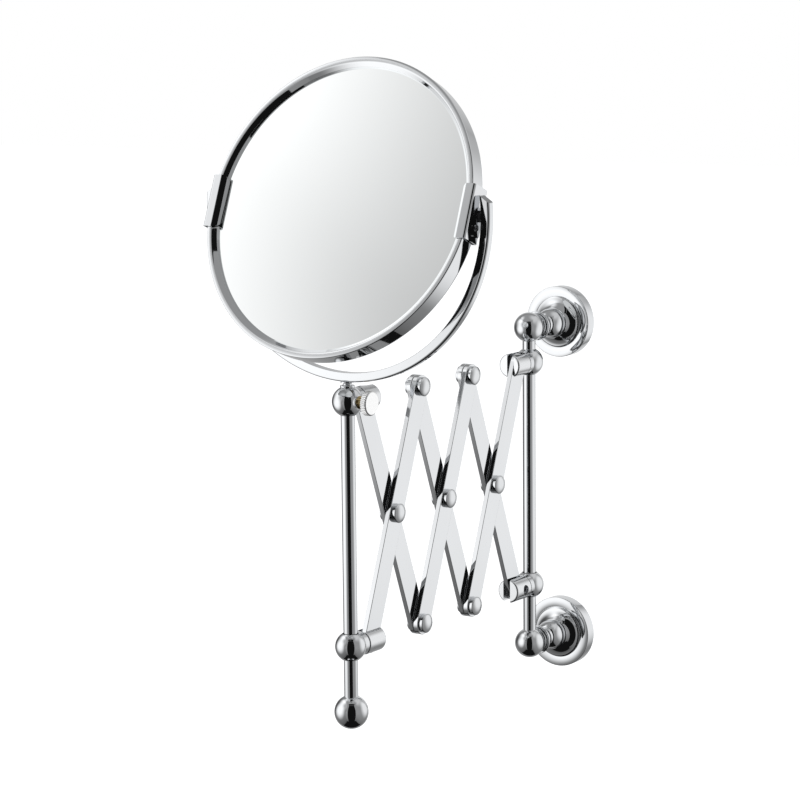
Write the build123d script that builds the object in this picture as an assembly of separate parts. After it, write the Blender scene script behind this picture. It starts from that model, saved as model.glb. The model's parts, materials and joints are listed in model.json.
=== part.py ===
from build123d import *
import math
import os

# An extendable shaving mirror for a bathroom wall. All sizes are in millimetres.
#
# Two turned posts on round roses hold a vertical rail. A lazy-tongs arm of six flat links
# joins the rail to the mirror rod: its upper corners hang from a fixed clevis ball on the
# rail and a clevis ball at the rod's top, its lower corners end in clevis balls that slide
# on the rail and on the rod. A half-ring yoke on the rod carries the round mirror, plain
# on one side and magnifying on the other, between two pivots.
#
# Frame: the origin is the centre of the lower wall plate's back face. +Y points into the
# wall, -Y out into the room, +Z up, and +X to the side of the rivet heads and the thumb
# screw. Depth is the distance out from the wall, so y = -depth.

# Fits
running_fit = 0.06        # radial gap of a shaft that turns or slides in its bore
side_gap = 0.10           # gap between flat faces that turn past each other
seat_gap = 0.20           # gap between pieces that only sit inside each other
thread_depth = 9.0        # how far a screwed spigot reaches into its piece
small_edge = 0.3          # small bevel on turned collars
screw_sink = 0.5          # how far a set screw lies below its surface
socket_share = 0.55       # a hexagon socket's corner radius as a share of its screw's radius

# Wall plates, roses and posts
post_spacing = 248.0      # height between the two posts' axes
rail_standoff = 52.0      # depth of the rail's axis
rose_radius = 27.7
rose_face_depth = 9.0     # depth of the rose's flat ring
rose_edge_round = 0.5
rose_ring_crown = 0.35    # how far the flat ring bulges
rose_shell = 2.4          # thickness of the rose's metal
ridge_radius = 19.8       # raised ring inside the flat ring
ridge_height = 1.5
ridge_lip = 0.6           # the ridge's sloping edge
cove_height = 6.0         # the cove's rise from the flat ring to the post's seat
cove_bend = (0.45, 0.35)  # the cove's middle point, as shares of its width and its rise
seat_radius = 11.6        # where the post's bead sits on the rose
wall_plate_thickness = 4.0
wall_boss_radius = 8.0
wall_hole_spacing = 34.0  # the installer's two screws
wall_hole_radius = 2.25
spigot_radius = 4.0       # threaded spigots of the posts
grub_radius = 1.25        # small socket screws that lock a piece
bead_foot = 0.8           # the thin disc under the post's bead
bead_radius = 11.4
bead_length = 13.5
neck_radius = 7.2
collar_radius = 11.2
collar_width = 1.6
ring_radius = 9.7
ring_width = 1.2
groove_width = 0.9
groove_radius = 8.5
post_ball_radius = 11.6

# Rail and its bushes
rod_radius = 5.0          # rail and mirror rod
journal_radius = 3.5      # the rail's turned-down ends
journal_length = 9.0
bush_reach = 4.0          # how far a rail bush goes past the post ball's centre

# Clevis balls
ball_radius = 11.06
clevis_neck_radius = 8.8
clevis_groove_radius = 8.0
clevis_groove_width = 0.8 # the groove between the neck and the clevis
clevis_radius = 9.1
clevis_start = 12.0       # distance from the ball's centre to the clevis's shoulder
clevis_pivot = 20.0       # distance from the ball's centre to the link's pivot
upper_clevis_reach = 29.0
lower_clevis_reach = 32.0
clevis_edge = 0.5
clevis_end_round = 1.3
clevis_drop = 26.6        # the upper clevis hangs this far below the upper post's axis
slot_width = 6.0
slider_bush_radius = 5.8
slider_bush_inset = 1.1   # the nylon bush ends this far inside the ball's surface
set_screw_radius = 2.0

# Links and their pivots
link_pitch = 187.5        # distance between a link's end pivots
link_angle = 21.2         # each link's angle from the vertical as the mirror is stored
link_width = 17.0
link_thickness = 3.8
link_edge = 0.4
link_spacing = 0.4        # gap between the near links and the far links
pivot_radius = 2.5
rivet_head_radius = 7.0
rivet_head_height = 2.8
rivet_dome = 2.4
cap_radius = 6.5
cap_height = 2.4
cap_dome = 1.4
dome_shoulder = 0.25      # the bevel under a dome, as a share of the dome's height
cap_bore = 1.3            # how far the rivet's shank reaches into its cap
washer_radius = 5.5
pin_head_radius = 3.5
pin_head_height = 2.6
pin_recess = 3.0          # the pin's head lies this far inside the clevis's surface
pin_end_cover = 1.8       # metal left over the pin's blind end

# Thumb screw in the rod's clevis ball
clamp_radius = 4.5
pad_length = 1.5
knob_radius = 8.7
knob_near_face = 16.2     # distance of the knob's inner face from the rod's axis
knob_thickness = 4.8
knob_bevel = 0.9
knob_bore = 2.5           # how far the brass screw reaches into the knob
flute_count = 36
flute_radius = 0.45

# Mirror rod, finial and yoke
rod_drop = 222.2          # distance from the rod's clevis ball down to the finial's centre
finial_radius = 12.2
finial_sink = 0.6         # how deep the rod's end is let into the finial
stem_thread_radius = 3.0
stem_collar_radius = 5.2
stem_collar_height = 1.4
stem_neck_radius = 3.0
stem_neck_height = 2.0
stem_flange_radius = 4.8  # the flange that meets the yoke
stem_flange_height = 0.5
stem_flange_rise = 0.4    # how far the flange reaches up round the yoke's soft edges
stem_tenon_radius = 2.2   # the stem's end inside the yoke
yoke_radial = 6.7         # the yoke bar's thickness, measured out from the mirror's centre
yoke_axial = 6.5          # the yoke bar's width, measured front to back
yoke_edge = 1.6
yoke_inner_rise = 13.5    # how far the yoke's ends stand above the pivots, inside
yoke_outer_rise = 8.5     # and outside

# Mirror head
mirror_tilt = 21.5        # the mirror looks up by this angle as it is stored
glass_view_radius = 101.2 # visible radius of the glass
rim_width = 7.3           # from the glass that shows to the rim's outside
rim_front = 12.2          # the rim's front, measured from the pivots' axis
rim_skirt = 9.2           # where the rim meets the case
rim_slope_width = 1.4     # the rim's inner slope
rim_slope_end = 1.9       # the slope ends this far behind the rim's front
rim_crown_inset = 3.2     # the crown's top lies this far inside the rim's outside
rim_crown_end = 1.3       # the crown ends this far behind the rim's front
rim_outer_bevel = 0.3
rim_side_height = 1.0     # height of the rim's upright side above the case
case_back = 2.8           # the case's back, measured behind the pivots' axis
case_wall = 1.2
case_step = 0.2           # the case's band lies this much inside the rim's skirt
case_bend = 1.8           # radius of the case's back corner
case_joint = 0.25         # the fine dark joint between rim and case
glass_thickness = 2.0
glass_front = 6.9         # front face of the plain glass
glass_margin = 1.6        # the glasses end this far inside the rim's outside
magnifier_thickness = 2.0
magnifier_sag = 4.2       # depth of the magnifying glass's hollow
spacer_width = 5.0
clip_length = 38.0
clip_sheet = 1.2
clip_bend = 1.8
clip_corner = 3.0         # rounding of the clip's four corners, seen from the front
clip_foot_reach = 12.3    # the clip's front foot reaches this far in over the glass
clip_foot_slope = 3.3     # width of the foot's slope
clip_foot_gap = 0.2       # gap between the foot and the glass
clip_back_reach = 10.2    # width of the clip's back leg
pivot_gap = 3.8           # gap between the rim and the yoke
pivot_pin_radius = 2.0
pivot_pin_grip = 3.4      # length of the pin inside the yoke
bracket_sheet = 0.9
bracket_width = 8.0
bracket_shift = 1.6       # the bracket's middle lies this far in front of the pivots' axis
bracket_above = 5.0
bracket_below = 15.0
bracket_screw_drop = 9.0
bracket_screw_shift = 3.0 # the screws lie this far in front of the pivots' axis
bracket_screw_radius = 1.2
bracket_screw_head = 2.2
bracket_screw_head_height = 0.6
pivot_washer_radius = 4.0

# Places that follow from the sizes above
angle = math.radians(link_angle)
cell_width = link_pitch * math.sin(angle)
upper_level = post_spacing - clevis_drop
lower_level = upper_level - link_pitch * math.cos(angle)
middle_level = (upper_level + lower_level) / 2
first_pivot_depth = rail_standoff + clevis_pivot
last_pivot_depth = first_pivot_depth + 3 * cell_width
rod_depth = last_pivot_depth + clevis_pivot
near_inner = link_spacing / 2
near_outer = near_inner + link_thickness
slot_offset = near_outer + seat_gap - slot_width / 2
rose_seat = rose_face_depth + cove_height
finial_level = upper_level - rod_drop
rim_radius = glass_view_radius + rim_width
yoke_inner_radius = rim_radius + pivot_gap
yoke_outer_radius = yoke_inner_radius + yoke_radial
ball_mouth = math.sqrt(ball_radius**2 - rod_radius**2)
stem_base = upper_level + ball_mouth + side_gap
yoke_bottom = stem_base + stem_collar_height + stem_neck_height + stem_flange_height
mirror_level = yoke_bottom + yoke_outer_radius
tilt = math.radians(mirror_tilt)

wall_ward = (0, 1, 0)
room_ward = (0, -1, 0)
near_ward = (1, 0, 0)
far_ward = (-1, 0, 0)


# ------------------------------------------------------------------ shared shapes
def facing(origin, direction):
    """A plane whose normal runs along the given direction."""
    across = (1, 0, 0) if direction[2] else (0, 0, 1)
    return Plane(origin=origin, x_dir=across, z_dir=direction)


def rod(origin, direction, radius, start, end):
    """A round bar along a direction, from one distance to another."""
    return facing(origin, direction) * Pos(0, 0, (start + end) / 2) * Cylinder(radius, end - start)


def upright(x, y, radius, bottom, top):
    """A round vertical bar."""
    return Pos(x, y, (bottom + top) / 2) * Cylinder(radius, top - bottom)


def tube(origin, direction, outer, inner, start, end):
    """A washer or bush along a direction."""
    return rod(origin, direction, outer, start, end) - rod(origin, direction, inner, start - 1, end + 1)


def turned(outline):
    """A solid turned about Z from a closed outline of (radius, height) edges."""
    return revolve(Plane.XZ * make_face(outline), Axis.Z)


def crown_arc(radius, edge_height, top_height):
    """The half outline of a spherical cap, from its edge to its top on the axis."""
    rise = top_height - edge_height
    sphere_radius = (radius**2 + rise**2) / (2 * rise)
    centre = top_height - sphere_radius
    half_angle = math.asin(radius / abs(sphere_radius)) / 2
    middle = (
        abs(sphere_radius) * math.sin(half_angle),
        centre + sphere_radius * math.cos(half_angle),
    )
    return ThreePointArc((radius, edge_height), middle, (0, top_height))


def domed_head(radius, height, dome):
    """A button head that stands on Z = 0: a short cylinder under a shallow dome."""
    shoulder = dome_shoulder * dome
    side = Polyline((0, 0), (radius, 0), (radius, height), (radius - shoulder, height + shoulder))
    crown = crown_arc(radius - shoulder, height + shoulder, height + dome)
    return turned(side + crown + Line((0, height + dome), (0, 0)))


def socket_screw(radius, length):
    """A grub screw from Z = 0 down to -length, with a hexagon socket in its top."""
    socket_depth = min(length / 2, radius)
    socket = Pos(0, 0, -socket_depth) * extrude(RegularPolygon(socket_share * radius, 6), socket_depth)
    return Pos(0, 0, -length / 2) * Cylinder(radius, length) - socket


# ------------------------------------------------------------------ wall plates, roses, posts
def wall_plate(level):
    """A round plate with a threaded boss and the installer's two holes."""
    plate = Cylinder(rose_radius - rose_shell - seat_gap, wall_plate_thickness)
    plate = Pos(0, 0, wall_plate_thickness / 2) * plate
    boss_top = rose_seat - rose_shell - seat_gap
    boss = Pos(0, 0, boss_top / 2) * Cylinder(wall_boss_radius, boss_top)
    thread = Pos(0, 0, rose_seat - thread_depth / 2) * Cylinder(spigot_radius, thread_depth)
    holes = [
        Pos(0, side * wall_hole_spacing / 2, 0) * Cylinder(wall_hole_radius, 3 * wall_plate_thickness)
        for side in (-1, 1)
    ]
    return facing((0, 0, level), room_ward) * (plate + boss - thread - holes)


def rose(level):
    """The hollow cover over a wall plate: flat ring, ridge and cove."""
    ridge_top = rose_face_depth + ridge_height
    corner = rose_edge_round * (1 - math.sqrt(0.5))
    hole = spigot_radius + seat_gap
    face = Polyline(
        (hole, rose_seat),
        (seat_radius, rose_seat),
    )
    cove = ThreePointArc(
        (seat_radius, rose_seat),
        (
            seat_radius + cove_bend[0] * (ridge_radius - ridge_lip - seat_radius),
            ridge_top + cove_bend[1] * (rose_seat - ridge_top),
        ),
        (ridge_radius - ridge_lip, ridge_top),
    )
    ridge = Polyline(
        (ridge_radius - ridge_lip, ridge_top),
        (ridge_radius, ridge_top - ridge_lip),
        (ridge_radius + small_edge, rose_face_depth),
    )
    ring_end = rose_radius - rose_edge_round
    ring = ThreePointArc(
        (ridge_radius + small_edge, rose_face_depth),
        ((ridge_radius + ring_end) / 2, rose_face_depth + rose_ring_crown),
        (ring_end, rose_face_depth),
    )
    edge = ThreePointArc(
        (ring_end, rose_face_depth),
        (rose_radius - corner, rose_face_depth - corner),
        (rose_radius, rose_face_depth - rose_edge_round),
    )
    inner_radius = rose_radius - rose_shell
    inside = Polyline(
        (rose_radius, rose_face_depth - rose_edge_round),
        (rose_radius, 0),
        (inner_radius, 0),
        (inner_radius, rose_face_depth - rose_shell),
        (ridge_radius - rose_shell / 2, rose_face_depth - rose_shell),
        (wall_boss_radius + seat_gap, rose_seat - rose_shell),
        (hole, rose_seat - rose_shell),
        (hole, rose_seat),
    )
    shell = turned(face + cove + ridge + ring + edge + inside)
    return facing((0, 0, level), room_ward) * shell - rose_screw_bore(level)


def rose_screw_bore(level):
    """The radial hole under a rose for its grub screw."""
    start = rose_radius - rose_shell - seat_gap
    return rod((0, -wall_plate_thickness / 2, level), (0, 0, -1), grub_radius, start, rose_radius + 1)


def rose_screw(level):
    """The grub screw that locks a rose on its wall plate, from below."""
    seat = rose_radius - screw_sink
    plane = Plane(
        origin=(0, -wall_plate_thickness / 2, level - seat), x_dir=(1, 0, 0), z_dir=(0, 0, -1)
    )
    return plane * socket_screw(grub_radius, rose_shell + seat_gap - screw_sink)


def post(level, rail_side):
    """A turned post: threaded spigot, bead, neck, collars and the ball that holds the rail."""
    bead_start = rose_seat + bead_foot + small_edge
    bead_end = rose_seat + bead_length
    ball_start = rail_standoff - math.sqrt(post_ball_radius**2 - groove_radius**2)
    ring_end = ball_start - groove_width
    ring_start = ring_end - ring_width
    collar_end = ring_start - groove_width
    collar_start = collar_end - collar_width
    back = Polyline(
        (0, rose_seat - thread_depth + seat_gap),
        (spigot_radius, rose_seat - thread_depth + seat_gap),
        (spigot_radius, rose_seat),
        (bead_radius + small_edge, rose_seat),
        (bead_radius + small_edge, rose_seat + bead_foot),
        (bead_radius - small_edge, bead_start),
    )
    bead = ThreePointArc(
        (bead_radius - small_edge, bead_start),
        (bead_radius - small_edge / 3, rose_seat + 0.45 * bead_length),
        (neck_radius + 2 * small_edge, bead_end - small_edge),
    )
    waist = Line((neck_radius + 2 * small_edge, bead_end - small_edge), (neck_radius, bead_end))
    flare = ThreePointArc(
        (neck_radius, bead_end),
        (neck_radius + small_edge, bead_end + 0.6 * (collar_start - bead_end)),
        (collar_radius - small_edge, collar_start),
    )
    collars = Polyline(
        (collar_radius - small_edge, collar_start),
        (collar_radius, collar_start + small_edge),
        (collar_radius, collar_end - small_edge),
        (collar_radius - small_edge, collar_end),
        (groove_radius, collar_end),
        (groove_radius, ring_start),
        (ring_radius - small_edge, ring_start),
        (ring_radius, ring_start + small_edge),
        (ring_radius, ring_end - small_edge),
        (ring_radius - small_edge, ring_end),
        (groove_radius, ring_end),
        (groove_radius, ball_start),
    )
    ball = ThreePointArc(
        (groove_radius, ball_start),
        (post_ball_radius, rail_standoff),
        (0, rail_standoff + post_ball_radius),
    )
    axis_line = Line(
        (0, rail_standoff + post_ball_radius), (0, rose_seat - thread_depth + seat_gap)
    )
    body = turned(back + bead + waist + flare + collars + ball + axis_line)
    body = facing((0, 0, level), room_ward) * body
    bore = rod(
        (0, -rail_standoff, level),
        (0, 0, rail_side),
        rod_radius + running_fit,
        -bush_reach,
        2 * post_ball_radius,
    )
    return body - bore


def rail_bush(level, rail_side):
    """The nylon bush in a post's ball that a rail journal turns in."""
    return tube(
        (0, -rail_standoff, level),
        (0, 0, rail_side),
        rod_radius + running_fit,
        journal_radius + running_fit,
        -bush_reach,
        journal_length - bush_reach - side_gap,
    )


def wall_rail():
    """The vertical rail with a turned-down journal at each end."""
    shoulder = journal_length - bush_reach
    body = upright(0, -rail_standoff, rod_radius, shoulder, post_spacing - shoulder)
    tip = shoulder - journal_length + side_gap
    return body + upright(0, -rail_standoff, journal_radius, tip, post_spacing - tip)


# ------------------------------------------------------------------ clevis balls
def clevis_ball(depth, level, direction, reach, slot_centre):
    """A ball with a slotted clevis, before its rod, pin and screw holes are made."""
    neck_start = math.sqrt(ball_radius**2 - clevis_neck_radius**2)
    groove_start = clevis_start - clevis_groove_width
    ball = ThreePointArc((0, -ball_radius), (ball_radius, 0), (clevis_neck_radius, neck_start))
    neck = Polyline(
        (clevis_neck_radius, neck_start),
        (clevis_neck_radius, groove_start),
        (clevis_groove_radius, groove_start),
        (clevis_groove_radius, clevis_start),
        (clevis_radius - clevis_edge, clevis_start),
        (clevis_radius, clevis_start + clevis_edge),
        (clevis_radius, reach - clevis_end_round),
    )
    corner = clevis_end_round * (1 - math.sqrt(0.5))
    end_round = ThreePointArc(
        (clevis_radius, reach - clevis_end_round),
        (clevis_radius - corner, reach - corner),
        (clevis_radius - clevis_end_round, reach),
    )
    end_face = Polyline((clevis_radius - clevis_end_round, reach), (0, reach), (0, -ball_radius))
    outline = ball + neck + end_round + end_face
    slot_floor = clevis_pivot - link_width / 2 - seat_gap
    slot_length = reach - slot_floor + 1
    sign = direction[1]
    slot = Pos(slot_centre, -depth + sign * (slot_floor + slot_length / 2), level)
    slot = slot * Box(slot_width, slot_length, 3 * clevis_radius)
    return facing((0, -depth, level), direction) * turned(outline) - slot


def clevis_pin_place(depth, level, direction, head_side):
    """The pin's axis through a clevis, seen from the side of its head."""
    pivot = (0, -depth + direction[1] * clevis_pivot, level)
    return pivot, (head_side, 0, 0)


def clevis_pin_bore(depth, level, direction, head_side):
    """The pin's hole: blind at one cheek, counterbored for the head at the other."""
    pivot, out = clevis_pin_place(depth, level, direction, head_side)
    seat = clevis_radius - pin_recess - pin_head_height
    shank = rod(pivot, out, pivot_radius, -clevis_radius + pin_end_cover, clevis_radius)
    return shank + rod(pivot, out, pin_head_radius + seat_gap, seat, clevis_radius + 1)


def clevis_pin(depth, level, direction, head_side):
    """The link's pin: a shouldered screw with a hexagon socket."""
    pivot, out = clevis_pin_place(depth, level, direction, head_side)
    seat = clevis_radius - pin_recess - pin_head_height
    head_top = seat + pin_head_height
    shank = rod(pivot, out, pivot_radius, -clevis_radius + pin_end_cover, seat)
    head = rod(pivot, out, pin_head_radius, seat, head_top)
    socket_depth = 0.6 * pin_head_height
    socket = extrude(RegularPolygon(socket_share * pin_head_radius, 6), socket_depth)
    socket = facing(pivot, out) * Pos(0, 0, head_top - socket_depth) * socket
    return shank + head - socket


def clevis_spacer(depth, level, direction, link_side):
    """The washer that takes up the slot beside a link."""
    pivot, out = clevis_pin_place(depth, level, direction, -link_side)
    slot_wall = slot_width / 2 - slot_offset
    return tube(pivot, out, washer_radius, pivot_radius, side_gap - near_inner, slot_wall)


def rod_bore(depth, level, radius):
    """The vertical hole through a clevis ball."""
    return upright(0, -depth, radius, level - 2 * ball_radius, level + 2 * ball_radius)


def slider_bush(depth, level):
    """The nylon bush that lets a clevis ball slide on its rod."""
    half = math.sqrt(ball_radius**2 - slider_bush_radius**2) - slider_bush_inset
    return tube(
        (0, -depth, level), (0, 0, 1), slider_bush_radius, rod_radius + running_fit, -half, half
    )


def upper_wall_clevis():
    """The clevis ball that a set screw fixes near the rail's top."""
    place = (rail_standoff, upper_level, room_ward)
    body = clevis_ball(*place, upper_clevis_reach, slot_offset)
    body -= rod_bore(rail_standoff, upper_level, rod_radius)
    body -= clevis_pin_bore(*place, -1)
    screw_hole = rod(
        (0, -rail_standoff, upper_level), wall_ward, set_screw_radius, rod_radius, ball_radius + 1
    )
    return body - screw_hole


def clevis_set_screw():
    """The set screw behind the upper wall clevis, which bears on the rail."""
    start = facing((0, -rail_standoff + ball_radius - screw_sink, upper_level), wall_ward)
    return start * socket_screw(set_screw_radius, ball_radius - rod_radius - screw_sink)


def lower_wall_clevis():
    """The clevis ball that slides on the rail."""
    place = (rail_standoff, lower_level, room_ward)
    body = clevis_ball(*place, lower_clevis_reach, -slot_offset)
    body -= rod_bore(rail_standoff, lower_level, slider_bush_radius)
    return body - clevis_pin_bore(*place, 1)


def upper_rod_clevis():
    """The clevis ball that the mirror rod turns in, with the thumb screw's thread."""
    place = (rod_depth, upper_level, wall_ward)
    body = clevis_ball(*place, upper_clevis_reach, -slot_offset)
    body -= rod_bore(rod_depth, upper_level, rod_radius + running_fit)
    body -= clevis_pin_bore(*place, 1)
    thread = rod(
        (0, -rod_depth, upper_level), near_ward, clamp_radius + running_fit, 0, ball_radius + 1
    )
    return body - thread


def lower_rod_clevis():
    """The clevis ball that slides on the mirror rod."""
    place = (rod_depth, lower_level, wall_ward)
    body = clevis_ball(*place, lower_clevis_reach, slot_offset)
    body -= rod_bore(rod_depth, lower_level, slider_bush_radius)
    return body - clevis_pin_bore(*place, -1)


# ------------------------------------------------------------------ links and rivets
def link(cell, side, fixed_holes):
    """One flat link. Cell 1 is at the rod. Side +1 is near and leans to the wall at its top.

    fixed_holes says for top, middle and bottom whether the link grips its own rivet.
    """
    depth = first_pivot_depth + (3.5 - cell) * cell_width
    x_start = near_inner if side > 0 else -near_outer
    along = (0, side * math.sin(angle), math.cos(angle))
    plane = Plane(origin=(x_start, -depth, middle_level), x_dir=along, z_dir=near_ward)
    bar = extrude(SlotCenterToCenter(link_pitch, link_width), link_thickness)
    rims = bar.faces().filter_by(Axis.Z).edges()
    bar = fillet(rims, link_edge)
    for place, fixed in zip((0.5, 0, -0.5), fixed_holes):
        hole = pivot_radius if fixed else pivot_radius + running_fit
        bar -= Pos(place * link_pitch, 0, link_thickness / 2) * Cylinder(hole, 2 * link_thickness)
    return plane * bar


def pivots_of(cell):
    """The pivots whose rivets a near link carries, as (depth, level)."""
    top = (first_pivot_depth + (3 - cell) * cell_width, upper_level)
    middle = (first_pivot_depth + (3.5 - cell) * cell_width, middle_level)
    bottom = (first_pivot_depth + (4 - cell) * cell_width, lower_level)
    return {1: [top, middle], 2: [top, middle, bottom], 3: [middle, bottom]}[cell]


def rivet(depth, level):
    """A domed rivet whose head sits on the near link."""
    shank_end = near_outer + side_gap + cap_bore
    head = domed_head(rivet_head_radius, rivet_head_height, rivet_dome)
    head = facing((near_outer, -depth, level), near_ward) * head
    return head + rod((0, -depth, level), near_ward, pivot_radius, -shank_end, near_outer)


def rivet_cap(depth, level):
    """The cap that closes a rivet behind the far link."""
    start = near_outer + side_gap
    cap = domed_head(cap_radius, cap_height, cap_dome)
    cap = facing((-start, -depth, level), far_ward) * cap
    return cap - rod((0, -depth, level), far_ward, pivot_radius, 0, start + cap_bore)


def rivet_washer(depth, level):
    """The thin washer that keeps two links apart."""
    return tube(
        (0, -depth, level), near_ward, washer_radius, pivot_radius, side_gap - near_inner, near_inner
    )


# ------------------------------------------------------------------ thumb screw
def clamp_pad():
    """The nylon pad at the thumb screw's tip, which presses on the rod."""
    start = rod_radius + side_gap
    return rod(
        (0, -rod_depth, upper_level),
        near_ward,
        clamp_radius - seat_gap,
        start,
        start + pad_length,
    )


def clamp_screw():
    """The brass screw of the thumb screw."""
    start = rod_radius + side_gap + pad_length
    end = knob_near_face + knob_bore
    return rod((0, -rod_depth, upper_level), near_ward, clamp_radius, start, end)


def clamp_knob():
    """The thumb screw's round knob with a fluted rim."""
    bevel_start = knob_thickness - knob_bevel
    outline = Polyline(
        (0, 0),
        (knob_radius, 0),
        (knob_radius, bevel_start),
        (knob_radius - knob_bevel, knob_thickness),
        (0, knob_thickness),
        (0, 0),
    )
    flutes = PolarLocations(knob_radius + 0.4 * flute_radius, flute_count) * Cylinder(
        flute_radius, 4 * knob_thickness
    )
    knob = turned(outline) - flutes
    axis = (0, -rod_depth, upper_level)
    knob = facing((knob_near_face, -rod_depth, upper_level), near_ward) * knob
    return knob - rod(axis, near_ward, clamp_radius, 0, knob_near_face + knob_bore)


# ------------------------------------------------------------------ mirror rod, finial, yoke
def finial_seat():
    """Height where the rod's end sits in the finial."""
    return finial_level + math.sqrt(finial_radius**2 - rod_radius**2) - finial_sink


def mirror_rod():
    """The rod that the mirror stands on, with a spigot below and a thread above."""
    top = upper_level + ball_mouth - small_edge
    body = upright(0, -rod_depth, rod_radius, finial_seat(), top)
    body += upright(0, -rod_depth, stem_thread_radius, finial_seat() - thread_depth, finial_seat())
    return body - upright(0, -rod_depth, stem_thread_radius, top - thread_depth, top + 1)


def finial():
    """The ball at the rod's foot."""
    seat = finial_seat()
    body = Pos(0, -rod_depth, finial_level) * Sphere(finial_radius)
    body -= upright(0, -rod_depth, rod_radius, seat, finial_level + 2 * finial_radius)
    return body - upright(0, -rod_depth, stem_thread_radius, seat - thread_depth, seat + 1)


def yoke():
    """The half ring that carries the mirror, with blind holes for its pivots and stem."""
    centre = (0, -rod_depth, mirror_level)
    outer = Cylinder(yoke_outer_radius, yoke_axial)
    outer = fillet(outer.faces().filter_by(Axis.Z).edges(), yoke_edge)
    ring = outer - Cylinder(yoke_inner_radius, 2 * yoke_axial)
    beyond = yoke_outer_radius + 1
    above = Polyline(
        (-beyond, yoke_outer_rise),
        (-yoke_inner_radius, yoke_inner_rise),
        (yoke_inner_radius, yoke_inner_rise),
        (beyond, yoke_outer_rise),
        (beyond, 2 * beyond),
        (-beyond, 2 * beyond),
        (-beyond, yoke_outer_rise),
    )
    ring -= Pos(0, 0, -yoke_axial) * extrude(make_face(above), 2 * yoke_axial)
    body = Plane(origin=centre, x_dir=(1, 0, 0), z_dir=room_ward) * ring
    grip_end = yoke_inner_radius + pivot_pin_grip
    body -= rod(centre, near_ward, pivot_pin_radius, -grip_end, grip_end)
    stem_hole_top = yoke_bottom + yoke_radial / 2
    return body - upright(0, -rod_depth, stem_tenon_radius, yoke_bottom - 1, stem_hole_top)


def yoke_stem():
    """The turned stem between the rod and the yoke."""
    thread_end = upper_level + ball_mouth - thread_depth
    collar_end = stem_base + stem_collar_height
    flange_start = yoke_bottom - stem_flange_height
    foot = Polyline(
        (0, thread_end),
        (stem_thread_radius, thread_end),
        (stem_thread_radius, stem_base),
        (stem_collar_radius - small_edge, stem_base),
        (stem_collar_radius, stem_base + small_edge),
        (stem_collar_radius, collar_end - small_edge),
        (stem_collar_radius - small_edge, collar_end),
    )
    neck = ThreePointArc(
        (stem_collar_radius - small_edge, collar_end),
        (stem_neck_radius, (collar_end + flange_start) / 2),
        (stem_flange_radius, flange_start),
    )
    head = Polyline(
        (stem_flange_radius, flange_start),
        (stem_flange_radius, yoke_bottom + stem_flange_rise),
        (stem_tenon_radius, yoke_bottom + stem_flange_rise),
        (stem_tenon_radius, yoke_bottom + yoke_radial / 2),
        (0, yoke_bottom + yoke_radial / 2),
        (0, thread_end),
    )
    return Pos(0, -rod_depth, 0) * turned(foot + neck + head) - yoke()


def pivot_pin(side):
    """One of the two pins in the yoke's ends that the mirror tilts on."""
    centre = (0, -rod_depth, mirror_level)
    return rod(centre, (side, 0, 0), pivot_pin_radius, web_inner, yoke_inner_radius + pivot_pin_grip)


# ------------------------------------------------------------------ mirror head
# The head is drawn about its own centre: Z along the plain glass's normal, X along the pivots.
head_place = Plane(
    origin=(0, -rod_depth, mirror_level),
    x_dir=(1, 0, 0),
    z_dir=(0, -math.cos(tilt), math.sin(tilt)),
)
web_inner = rim_radius + side_gap
web_outer = web_inner + clip_sheet
bracket_outer = web_outer + bracket_sheet
head_origin = (0, 0, 0)
glass_radius = rim_radius - glass_margin
hole_start = 0.9 * glass_radius
case_radius = rim_radius - case_step
case_inner = case_radius - case_wall


def pivot_hole(side, radius):
    """A hole along the pivots' axis, in the head's own frame."""
    return rod(head_origin, (side, 0, 0), radius, hole_start, yoke_inner_radius)


def bracket_screw_hole(side):
    """The hole of a bracket's screw, in the head's own frame."""
    axis = (0, -bracket_screw_drop, bracket_screw_shift)
    return rod(axis, (side, 0, 0), bracket_screw_radius, hole_start, yoke_inner_radius)


def front_rim():
    """The rounded bead around the plain glass."""
    slope_end = (glass_view_radius + rim_slope_width, rim_front - rim_slope_end)
    crown_end = (rim_radius - rim_outer_bevel, rim_front - rim_crown_end)
    slope = Line((glass_view_radius, glass_front), slope_end)
    crown = ThreePointArc(slope_end, (rim_radius - rim_crown_inset, rim_front), crown_end)
    skirt = Polyline(
        crown_end,
        (rim_radius, rim_skirt + rim_side_height),
        (rim_radius, rim_skirt),
        (glass_radius, rim_skirt),
        (glass_radius, glass_front),
        (glass_view_radius, glass_front),
    )
    return head_place * turned(slope + crown + skirt)


def mirror_case():
    """The case's side band, which folds over the magnifying glass at the back."""
    corner = case_bend * (1 - math.sqrt(0.5))
    side = Polyline(
        (case_inner, rim_skirt - case_joint),
        (case_radius, rim_skirt - case_joint),
        (case_radius, case_bend - case_back),
    )
    fold = ThreePointArc(
        (case_radius, case_bend - case_back),
        (case_radius - corner, corner - case_back),
        (case_radius - case_bend, -case_back),
    )
    lip = Polyline(
        (case_radius - case_bend, -case_back),
        (glass_view_radius + 0.8, -case_back),
        (glass_view_radius, case_wall - case_back),
        (case_inner, case_wall - case_back),
        (case_inner, rim_skirt - case_joint),
    )
    body = turned(side + fold + lip)
    for side_sign in (-1, 1):
        body -= bracket_screw_hole(side_sign)
    return head_place * body


def plain_glass():
    """The flat mirror glass at the front."""
    disc = Cylinder(glass_radius, glass_thickness)
    return head_place * Pos(0, 0, glass_front - glass_thickness / 2) * disc


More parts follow.
